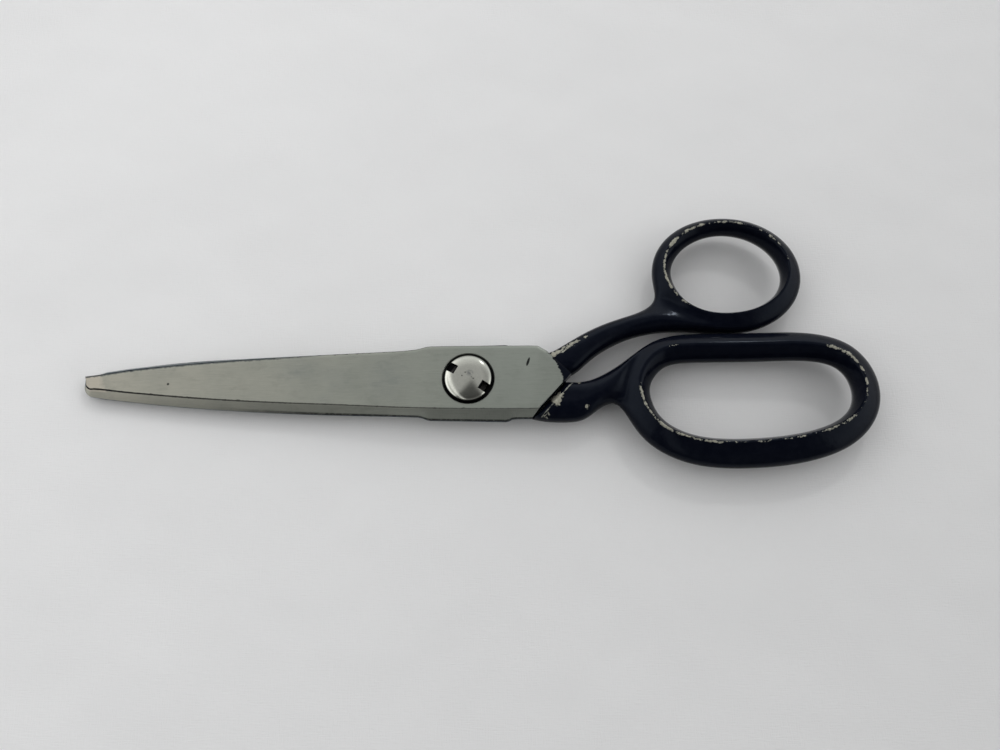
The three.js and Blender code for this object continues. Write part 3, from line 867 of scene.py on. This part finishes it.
def half_material(name, finish, turned):
    """Nickel on the blade and plate, enamel on the shank and bow, and the wear on both."""
    m = Maker(name)
    # The lower half is turned over, so its y and z run the other way.
    side = -1.0 if turned else 1.0
    x = m.x
    y = m.y * side
    z = (m.z - PLATE_THICKNESS) * side
    tone, rough, height = nickel_finish(m, finish)
    fine = m.noise(1.6, 4.0, 0.65)
    coarse = m.noise(0.45, 4.0, 0.6)

    # Bright warm metal at the tip, then a dark line on the ridge with bright metal beside it.
    ridge, cut = m.mark("ridge"), m.mark("cut")
    toward_tip = (x / -100.0).clamped()
    thinning = ((x - HEEL_X) / -(BLADE_LENGTH + HEEL_X)).clamped() * 1.9
    low_side = (PLATE_THICKNESS - thinning - z).above(0.2, 0.1)
    ragged = x * 0.9 + y * 0.45 + (coarse - 0.5) * 3.0 + (fine - 0.5) * 1.5
    warm = ragged.below(-85.9, 1.0) * (1.0 - low_side)
    tone = m.mix(warm * 0.6, tone, WORN_WARM)
    nicks = m.noise(0.55, 4.0, 0.7)
    worn_ridge = ridge + fine * 0.5 - 0.25 + (nicks - 0.58).most(0.0) * 3.0
    ridge_line = worn_ridge.above(0.80 - toward_tip * 0.34, 0.16)
    dark_share = (0.55 + toward_tip * 0.45) * (1.0 - low_side * 0.45)
    tone = m.mix(ridge.above(0.3, 0.3) * low_side * 0.3, tone, finish.bright)
    tone = m.mix(ridge_line * dark_share, tone, finish.grime_and_shade)

    # A dark blue-grey band and dark specks along the cut edge, and painted shade, slate grey to near
    # black, on the spine's lower edge.
    band = (cut + fine * 0.9 - 0.45).above(0.5, 0.3) * x.below(-46.0, 16.0)
    tone = m.mix(band * 0.8, tone, DARK_BLUE_GREY)
    rim = m.mark("spine") * z.below(HALF_GAP + 0.3, 0.1)
    spine_edge_shade = (rim + fine * 0.3 - 0.15).above(0.3, 0.2)
    tone = m.mix(spine_edge_shade * 0.95, tone, m.mix(coarse.above(0.5, 0.3), SPINE_EDGE_SHADE, finish.grime_and_shade))
    specks = (cut + m.noise(1.1, 4.0, 0.7) * 1.6 - 0.8).above(0.95, 0.1) * x.below(-20.0, 20.0)
    tone = m.mix(specks * 0.9, tone, finish.grime_and_shade)
    tone = m.mix(cut.above(0.88, 0.08) * 0.75, tone, finish.grime_and_shade)

    # The facet down to the spine is ground across, and painted darker towards the pivot as shade for the
    # dim light it reflects.
    spine_side = y.below(-2.0, 0.5)
    facet = z.below(PLATE_THICKNESS - 0.12, 0.08) * spine_side
    across = m.noise(1.2, 3.0, 0.6, stretch=(6.0, 0.3, 0.3))
    ground = facet * x.above(-12.0, 30.0)
    tone = m.mix(ground * 0.2, tone, FACET_SHADE)
    tone = m.mix(ground * across.above(0.62, 0.15) * 0.25, tone, GROUND_LINES)
    # Painted shade: the spine's side wall is darkened near black from the middle of the blade to the
    # pivot.
    spine_foot_shade = z.below(HALF_GAP + SPINE_LAND + 0.35, 0.2) * z.above(HALF_GAP + 0.04, 0.04)
    spine_foot_shade = spine_foot_shade * spine_side * x.above(-52.0, 30.0)
    tone = m.mix(spine_foot_shade * fine.above(0.35, 0.3) * 0.9, tone, finish.grime_and_shade)

    # Single marks: a pinhole in the blade and a chip of old enamel by the nut.
    marks = m.spot(-78.0, -0.7, 0.3, 0.25)
    if not turned:
        dx, dy = x - 15.4, y - 4.4
        dab_x, dab_y = dx * 0.9 - dy * 0.3, dx * 0.3 + dy * 0.9
        dab = (dab_x * dab_x / 0.10 + dab_y * dab_y / 1.5 + fine * 0.6).below(1.2, 0.3)
        marks = marks.most(dab)
    tone = m.mix(marks * 0.95, tone, finish.grime_and_shade)

    # Walls of the bores and of the recesses round the nut and bolt head are painted near black as shade.
    bore_shade = m.away().below(6.63, 0.05) * z.below(PLATE_THICKNESS - 0.1, 0.15)
    tone = m.mix(bore_shade, tone, finish.grime_and_shade)

    # The enamel starts on a ragged round line across the plate, and covers the diagonal's wall.
    reach = m.away(8.0, -4.0 * side) + (fine - 0.5) * 1.6 + (coarse - 0.5) * 1.0
    face_enamel = reach.above(16.65, 0.12) * x.above(9.0, 0.2)
    wall = PLATE_CORNER.dot(OUTWARD)
    past = x * OUTWARD.x + y * OUTWARD.y
    wall_enamel = (past + (fine - 0.5) * 0.1).above(wall - 0.06, 0.05)
    enamel = face_enamel.most(wall_enamel).most(z.below(-HALF_GAP + 0.02, 0.05))
    if turned:
        low_edge = x.above(9.8, 0.2) * y.above(9.0, 0.2)
        enamel = enamel.most(low_edge)

    # Chips follow the crests, where hands and the other half rub.
    flakes = m.noise(0.9, 5.0, 0.7)
    chips = (m.mark("wear") - 0.32 + (flakes - 0.5) * 3.2).above(0.5 - finish.chipping, 0.1)
    chips = chips.most(shank_chips(m, FINGER_CHIPS if turned else THUMB_CHIPS, flakes))
    chips = chips * x.above(16.0, 0.5)
    if turned:
        gap = x * OUTWARD.x + m.y * OUTWARD.y - wall
        shoulder_line = 0.16 - abs(gap - 1.75) + (flakes - 0.55) * 0.9
        raised = (m.z - PLATE_THICKNESS).above(1.8, 0.3)
        chips = chips.most(shoulder_line.above(0.0, 0.08) * raised * 0.7)
    chipped = enamel * chips
    painted = enamel * (1.0 - chips)
    unpainted = 1.0 - painted

    bare = m.mix(fine.above(0.5, 0.4), finish.primer, darker(finish.primer, 0.62))
    paint = m.mix(coarse.above(0.6, 0.4) * 0.6, finish.enamel, SCUFFED_ENAMEL)
    dusty = m.noise(3.5, 4.0, 0.7).above(0.72, 0.06)
    paint = m.mix(dusty * 0.05, paint, DUST)
    base = m.mix(chipped, tone, bare)
    base = m.mix(painted, base, paint)
    paint_rough = 0.07 + coarse * 0.14 + dusty * 0.2
    rough = (rough + chipped * 0.12) * unpainted + paint_rough * painted
    metal = unpainted * (1.0 - chipped * 0.35)
    orange_peel = m.noise(0.8, 2.0, 0.5)
    height = height * unpainted + painted * 0.05 + painted * orange_peel * 0.035
    return m.finish(base, rough, metal, height, specular=0.085, tint=(0.72, 0.84, 1.0))


def shank_chips(m, places, flakes):
    """Chips off the upper side of a shank, round the places listed."""
    chips = None
    for x, y, radius in places:
        inside = radius - m.away(x, y)
        spot = (inside + (flakes - 0.5) * 4.5).above(0.1, 0.12) * inside.above(-0.3, 0.4)
        chips = spot if chips is None else chips.most(spot)
    return chips * (m.z - PLATE_THICKNESS).above(0.3, 0.2)


def nut_material(finish):
    """Polished nut with a shaded far rim, pits near its crown, and painted shade on its edge, lower side
    and notches.
    """
    m = Maker("nut_polished_steel")
    radius = m.away()
    swirl = m.noise(2.2, 4.0, 0.6)
    pits = m.noise(1.5, 3.0, 0.6)
    grain = m.noise(7.0, 3.0, 0.6)
    tone = m.mix(swirl.above(0.55, 0.3) * 0.4, NUT_LIGHT, NUT_DULL)
    far_rim = (m.x * 0.5 + m.y * 0.86).above(1.5, 4.0) * radius.above(4.6, 1.8)
    tone = m.mix(far_rim * 0.75, tone, NUT_SHADE)
    smear = m.spot(0.45, 1.0, 0.7, 0.8) * pits.above(0.42, 0.2)
    tone = m.mix(smear * 0.6, tone, NUT_SMEAR)
    crown = m.spot(-0.65, 1.1, 0.22, 0.2)
    for x, y, size in ((-1.5, 0.25, 0.2), (1.4, -0.55, 0.22), (0.9, -0.15, 0.14)):
        crown = crown.most(m.spot(x, y, size, 0.2))
    crown = crown * grain.above(0.35, 0.3)
    tone = m.mix(crown * 0.85, tone, NUT_PIT)
    # Painted shade: the nut's outer edge, its lower side down in the recess and its notches are darkened
    # near black.
    rim = radius.above(NUT_HIGH.x / MM + 0.1, 0.12)
    tone = m.mix(rim * 0.85, tone, finish.grime_and_shade)
    low = m.z.below(NUT_LOW.z / MM + 0.7, 0.3)
    tone = m.mix(low * 0.9, tone, finish.grime_and_shade)
    cosine, sine = math.cos(NOTCH_TURN), math.sin(NOTCH_TURN)
    along = abs(m.x * cosine + m.y * sine)
    aside = abs(m.y * cosine - m.x * sine)
    notch = along.above(3.62, 0.05) * aside.below(1.22, 0.05)
    tone = m.mix(notch, tone, finish.grime_and_shade)
    rough = 0.10 + swirl * 0.10 + rim * 0.3 + crown * 0.25 + notch * 0.4
    return m.finish(tone, rough, 1.0, grain * 0.001 - crown * 0.008)


def bolt_material(finish):
    """Worn plated bolt with turning marks on its flat head."""
    m = Maker("bolt_plated_steel")
    radius = m.away()
    rings = (radius * 22.0 + m.noise(0.8) * 6.0).math("SINE")
    cloud = m.noise(0.5, 4.0, 0.6)
    tone = m.mix(cloud.above(0.5, 0.3) * 0.5, finish.nickel, darker(finish.tarnish_and_shade, 0.6))
    # Painted shade round the edge of the head.
    tone = m.mix(radius.above(4.95, 0.3) * 0.6, tone, finish.grime_and_shade)
    return m.finish(tone, 0.38 + cloud * 0.14, 1.0, rings * 0.003)


def washer_material():
    """Dull spring steel, dark with old oil."""
    m = Maker("washer_spring_steel")
    cloud = m.noise(0.9, 4.0, 0.6)
    tone = m.mix(cloud, SPRING_LIGHT, SPRING_DARK)
    return m.finish(tone, 0.5 + cloud * 0.2, 0.9, cloud * 0.01)


def floor_material(studio):
    """A pale floor with a faint weave, painted a little greyer to the right and to the front as the
    light's falloff.
    """
    m = Maker("studio_floor")
    warp = m.noise(1.0, 2.0, 0.5, stretch=(0.35, 3.2, 1.0))
    weft = m.noise(1.0, 2.0, 0.5, stretch=(3.2, 0.35, 1.0))
    soft = m.noise(0.012, 3.0, 0.5)
    # Painted light falloff: greyer to the right and to the front.
    painted_light_falloff = (m.x * 0.0021 - m.y * 0.0014 + 0.42).clamped()
    tone = m.mix(painted_light_falloff, studio.floor, darker(studio.floor, 0.68))
    tone = m.mix(soft.above(0.5, 0.5) * 0.1, tone, darker(studio.floor, 0.8))
    return m.finish(tone, 0.9, 0.0, (warp + weft) * 0.05 + soft * 3.0, specular=0.1)


def sky(studio):
    """Soft light from all round: a dim ceiling, a dark wedge to the front and a faint lit band."""
    world = bpy.data.worlds.new("studio_sky")
    world.use_nodes = True
    nodes = Nodes(world.node_tree)
    x, y, z = nodes.axes(nodes.add("ShaderNodeTexCoord", output="Generated"))
    ceiling = z.above(0.70, 0.3) * 0.72
    horizon = z.below(0.2, 0.4) * 0.5
    front = (-y).above(0.35, 0.6) * 0.4
    wedge = ((0.22 - y) * 0.75 + 0.02 - abs(x - 0.01)).above(0.0, 0.08) * z.above(0.0, 0.1) * 0.82
    band = (0.09 - abs(x + y * 0.25 + 0.46)).above(0.0, 0.07) * y.below(0.4, 0.2) * z.above(0.4, 0.3)
    light = (1.0 - ceiling) * (1.0 - horizon) * (1.0 - front) * (1.0 - wedge)
    light = light * 1.8 + band * 0.75
    back = world.node_tree.nodes["Background"]
    back.inputs[0].default_value = (0.98, 0.99, 1.0, 1.0)
    feed(world.node_tree, back.inputs[1], light * studio.sky)
    return world


# ---- Operators ----

def dress(obj, material, part):
    """Gives a piece its material, attaches it to the body that shares the part's name, and hides the
    part's imported node.
    """
    obj.data.materials.clear()
    obj.data.materials.append(material)
    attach(obj, part)
    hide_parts(part)


class SHEARS_OT_thumb_half(bpy.types.Operator):
    """Builds the upper half: blade, pivot plate, shank and thumb ring in one forging"""

    bl_idname = "shears.thumb_half"
    bl_label = "Thumb Half"

    def execute(self, context):
        sizes, finish = context.scene.shears_sizes, context.scene.shears_finish
        half = plate_body("thumb_forging", sizes, UPPER_TRIM)
        join_or_cut(half, thumb_handle(sizes), "UNION")
        join_or_cut(half, rod("bore", BORE_RADIUS, UNDER, OVER), "DIFFERENCE")
        floor = PLATE_THICKNESS - RECESS_DEPTH
        recess = sizes.counterbore_radius / MM
        round_off = 0.18
        profile = [
            (0, floor), (recess, floor), (recess, PLATE_THICKNESS - round_off),
            (recess + round_off, PLATE_THICKNESS + 0.001), (recess + round_off, OVER), (0, OVER),
        ]
        join_or_cut(half, round_body("counterbore", profile), "DIFFERENCE")
        put_attribute(half, "wear", wear_marks(half.data.vertices, THUMB_RUBS))
        shade(half, 28)
        dress(half, half_material("thumb_half_finish", finish, False), "thumb_half")
        return {"FINISHED"}


class SHEARS_OT_finger_half(bpy.types.Operator):
    """Builds the lower half: the same blade turned over, with the shank and the finger bow"""

    bl_idname = "shears.finger_half"
    bl_label = "Finger Half"

    def execute(self, context):
        sizes, finish = context.scene.shears_sizes, context.scene.shears_finish
        half = plate_body("finger_forging", sizes, LOWER_TRIM)
        side, head_radius = 3.0, 5.4
        corners = [(-side, -side), (side, -side), (side, side), (-side, side)]
        join_or_cut(half, slab("square", corners, UNDER, OVER), "DIFFERENCE")
        recess = rod("head_recess", head_radius, PLATE_THICKNESS - RECESS_DEPTH, OVER)
        join_or_cut(half, recess, "DIFFERENCE")
        turn_over(half)
        join_or_cut(half, finger_handle(sizes), "UNION")
        put_attribute(half, "wear", wear_marks(half.data.vertices, FINGER_RUBS))
        shade(half, 28)
        dress(half, half_material("finger_half_finish", finish, True), "finger_half")
        return {"FINISHED"}


class SHEARS_OT_pivot(bpy.types.Operator):
    """Builds the domed nut and gives the bolt and the washer their finish"""

    bl_idname = "shears.pivot"
    bl_label = "Pivot"

    def execute(self, context):
        sizes, finish = context.scene.shears_sizes, context.scene.shears_finish
        base = NUT_LOW.z / MM - PLATE_THICKNESS
        top = NUT_HIGH.z / MM - PLATE_THICKNESS
        rim = base + 1.1
        radius = sizes.nut_radius / MM
        profile = [(0, base), (radius - 0.2, base), (radius, base + 0.2), (radius, rim - 0.12)]
        steps = 24
        for step in range(1, steps):
            angle = step / steps * math.pi / 2
            profile.append((radius * math.cos(angle), rim + (top - rim) * math.sin(angle)))
        profile.append((0, top))
        nut = round_body("pivot_nut_domed", profile)
        join_or_cut(nut, rod("nut_bore", BORE_RADIUS, UNDER, top - 0.9), "DIFFERENCE")
        near, past, half_width, above = radius - 2.1, 8, 1.15, 6
        corners = [(near, -half_width), (past, -half_width), (past, half_width), (near, half_width)]
        for half_turn in (0.0, math.pi):
            notch = slab("notch", corners, UNDER, above)
            notch.data.transform(Matrix.Rotation(NOTCH_TURN + half_turn, 4, "Z"))
            join_or_cut(nut, notch, "DIFFERENCE")
        shade(bevel(nut, 0.10 * MM, 40), 35)
        dress(nut, nut_material(finish), "pivot_nut")
        kept = {"pivot_bolt": bolt_material(finish), "tension_washer": washer_material()}
        for node, material in kept.items():
            for slot in frame["nodes"][node].material_slots:
                slot.material = material
        return {"FINISHED"}


def resting_line(pieces, over):
    """Height at one x, and fall along X, of the highest floor that stays under the pieces."""
    lowest = {}
    for piece in pieces:
        for vertex in piece.data.vertices:
            column = round(vertex.co.x / MM)
            lowest[column] = min(lowest.get(column, math.inf), vertex.co.z)
    lines = []
    for step in range(81):
        slope = step * 0.0005
        height = min(z + slope * (column * MM - over) for column, z in lowest.items())
        lines.append((height, slope))
    return max(lines)


class SHEARS_OT_studio(bpy.types.Operator):
    """Sets the floor, the soft light and the camera"""

    bl_idname = "shears.studio"
    bl_label = "Studio"

    def execute(self, context):
        studio = context.scene.shears_studio
        scene = context.scene
        # The closed shears lie on their lowest points, and the floor leans a little to meet them.
        over = 25 * MM
        pieces = [bpy.data.objects[name] for name in ("thumb_forging", "finger_forging")]
        height, slope = resting_line(pieces, over)
        ground = Matrix.Translation((over, 0, height)) @ Matrix.Rotation(math.atan(slope), 4, "Y")

        mesh = bpy.data.meshes.new("studio_floor")
        size = 3.0
        corners = [(-size, -size, 0), (size, -size, 0), (size, size, 0), (-size, size, 0)]
        mesh.from_pydata(corners, [], [(0, 1, 2, 3)])
        floor = bpy.data.objects.new("studio_floor", mesh)
        floor.data.materials.append(floor_material(studio))
        scene.collection.objects.link(floor)
        floor.matrix_world = ground

        camera = bpy.data.objects.new("studio_camera", bpy.data.cameras.new("studio_camera"))
        scene.collection.objects.link(camera)
        camera.data.lens = studio.lens
        camera.data.sensor_width = 36.0
        camera.data.clip_start = 0.01
        pivot = Matrix.Translation((0, 0, PARTING))
        lean = Matrix.Rotation(studio.camera_lean, 4, "Y")
        tilt = Matrix.Rotation(studio.camera_tilt, 4, "X")
        place = Matrix.Translation((studio.camera_side, -studio.camera_back, studio.camera_height))
        camera.matrix_world = pivot @ lean @ place @ tilt
        scene.camera = camera

        window = bpy.data.lights.new("window", "AREA")
        window.size = 0.05
        window.energy = 0.7 * studio.window
        glint = bpy.data.objects.new("window", window)
        scene.collection.objects.link(glint)
        toward = Vector((0.33, 0.725, 0.604))
        glint.location = toward
        glint.rotation_euler = toward.to_track_quat("Z", "Y").to_euler()
        scene.world = sky(studio)
        scene.view_settings.view_transform = "Standard"
        return {"FINISHED"}


BUILD_ORDER = (SHEARS_OT_thumb_half, SHEARS_OT_finger_half, SHEARS_OT_pivot, SHEARS_OT_studio)


class SHEARS_PT_build(bpy.types.Panel):
    """Lists the steps that build the shears"""

    bl_idname = "SHEARS_PT_build"
    bl_label = "Fabric Shears"
    bl_space_type = "VIEW_3D"
    bl_region_type = "UI"
    bl_category = "Shears"

    def draw(self, context):
        for step in BUILD_ORDER:
            self.layout.operator(step.bl_idname)


CLASSES = (ShearsSizes, ShearsFinish, ShearsStudio, *BUILD_ORDER, SHEARS_PT_build)


def register():
    for item in CLASSES:
        bpy.utils.register_class(item)
    bpy.types.Scene.shears_sizes = PointerProperty(type=ShearsSizes)
    bpy.types.Scene.shears_finish = PointerProperty(type=ShearsFinish)
    bpy.types.Scene.shears_studio = PointerProperty(type=ShearsStudio)


def unregister():
    del bpy.types.Scene.shears_studio
    del bpy.types.Scene.shears_finish
    del bpy.types.Scene.shears_sizes
    for item in reversed(CLASSES):
        bpy.utils.unregister_class(item)


def main():
    register()
    for step in BUILD_ORDER:
        group, name = step.bl_idname.split(".")
        getattr(getattr(bpy.ops, group), name)()


if __name__ == "__main__":
    main()
